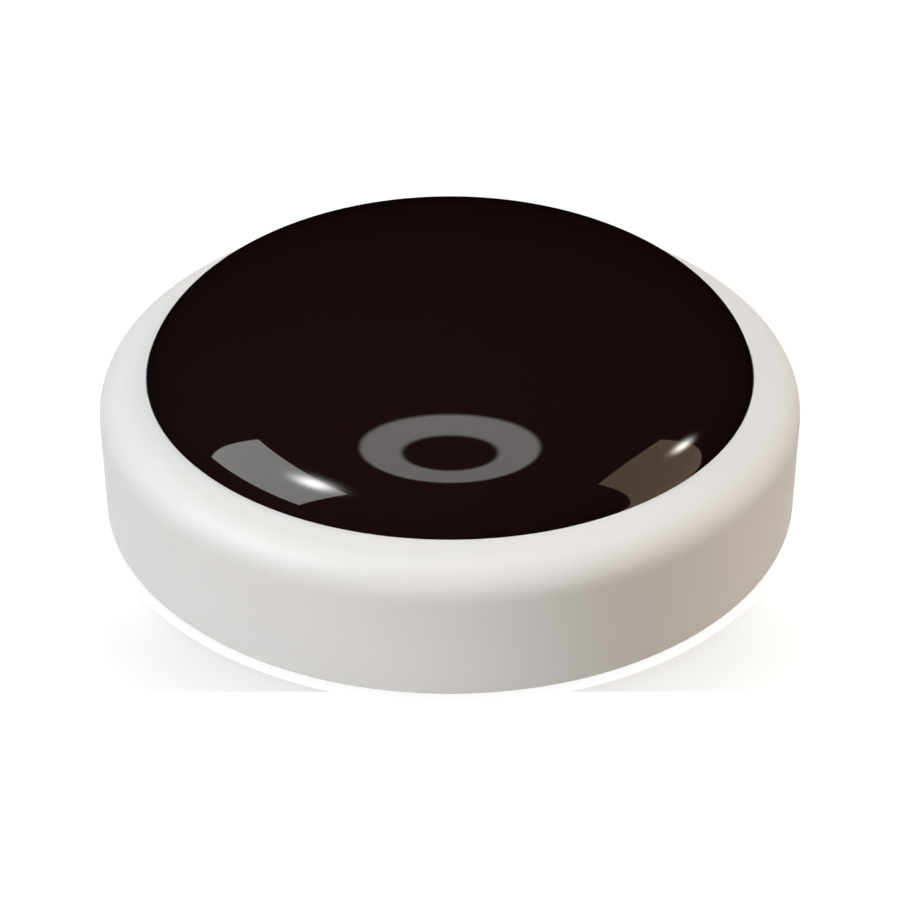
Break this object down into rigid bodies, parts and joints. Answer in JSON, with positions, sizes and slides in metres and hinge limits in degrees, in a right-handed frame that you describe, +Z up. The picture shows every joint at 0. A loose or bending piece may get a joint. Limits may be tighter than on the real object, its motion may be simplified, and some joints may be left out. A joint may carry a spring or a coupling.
{
  "type": "infrared controller",
  "caption": "Round white puck with a glossy black infrared dome, a micro-USB inlet and a reset button in its rear wall.",
  "frame": {"origin": "centre of the foot ring, on the surface that the object stands on", "axes": "+Z up along the axis of the round case, -Y the front, +Y the rear wall with the power inlet"},
  "size_m": [0.066, 0.066, 0.0233],
  "materials": {
    "white_abs": "fine matt moulded white ABS",
    "white_abs_cover": "white ABS with a finely spark-eroded texture",
    "infrared_window": "glossy near-black polycarbonate that lets infrared through",
    "adhesive_foam": "black double-sided acrylic foam",
    "silicone": "soft grey silicone",
    "label_film": "blank satin polyester label",
    "screw_steel": "nickel-plated steel",
    "circuit_board": "fibreglass laminate with green solder resist",
    "emitter_epoxy": "clear pale blue epoxy",
    "tinned_leads": "tin-plated steel wire",
    "receiver_epoxy": "dark infrared epoxy",
    "module_board": "fibreglass laminate with dark blue solder resist",
    "shield_steel": "pressed nickel silver sheet",
    "black_epoxy": "matt black moulding compound",
    "aerial_copper": "gold-flashed copper trace",
    "inlet_steel": "nickel-plated folded steel",
    "inlet_nylon": "black glass-filled nylon",
    "gold_contacts": "gold-plated copper alloy",
    "button_abs": "matt light grey ABS",
    "switch_nylon": "black glass-filled nylon",
    "plunger_nylon": "natural nylon",
    "led_epoxy": "clear epoxy over a phosphor",
    "resistor_film": "glazed black film on ceramic",
    "capacitor_ceramic": "tan ceramic",
    "capacitor_can": "drawn aluminium",
    "black_nylon": "black moulded nylon"
  },
  "bodies": {
    "case": {"base_cover": "white_abs_cover", "board_screws": "screw_steel", "bulk_capacitor": "capacitor_can", "bulk_capacitor_base": "black_nylon", "case_screws": "screw_steel", "chip_capacitors": "capacitor_ceramic", "chip_resistors": "resistor_film", "dome_window": "infrared_window", "driver_transistors": "black_epoxy", "emitter_leads": "tinned_leads", "foot_ring": "silicone", "ir_emitter_1": "emitter_epoxy", "ir_emitter_2": "emitter_epoxy", "ir_emitter_3": "emitter_epoxy", "ir_emitter_4": "emitter_epoxy", "ir_emitter_5": "emitter_epoxy", "ir_emitter_6": "emitter_epoxy", "ir_emitter_top": "emitter_epoxy", "ir_receiver": "receiver_epoxy", "main_board": "circuit_board", "rating_label": "label_film", "receiver_leads": "tinned_leads", "regulator": "black_epoxy", "regulator_leads": "tinned_leads", "status_led": "led_epoxy", "switch_cover": "shield_steel", "switch_housing": "switch_nylon", "transistor_leads": "tinned_leads", "upper_housing": "white_abs", "usb_contacts": "gold_contacts", "usb_shell": "inlet_steel", "usb_tongue": "inlet_nylon", "wifi_aerial": "aerial_copper", "wifi_board": "module_board", "wifi_chip": "black_epoxy", "wifi_shield": "shield_steel", "window_adhesive": "adhesive_foam"},
    "reset_button": {"reset_button": "button_abs"},
    "switch_plunger": {"switch_plunger": "plunger_nylon"}
  },
  "joints": [
    {"name": "reset_press", "type": "slide", "parent": "case", "child": "reset_button", "axis": [-0.4226, -0.9063, 0], "range_m": [0, 0.0003], "stiffness_N_per_m": 1000},
    {"name": "plunger_press", "type": "slide", "parent": "case", "child": "switch_plunger", "axis": [-0.4226, -0.9063, 0], "range_m": [0, 0.0003]}
  ],
  "couplings": [
    {"joint": "plunger_press", "follows": "reset_press", "ratio": 1}
  ]
}
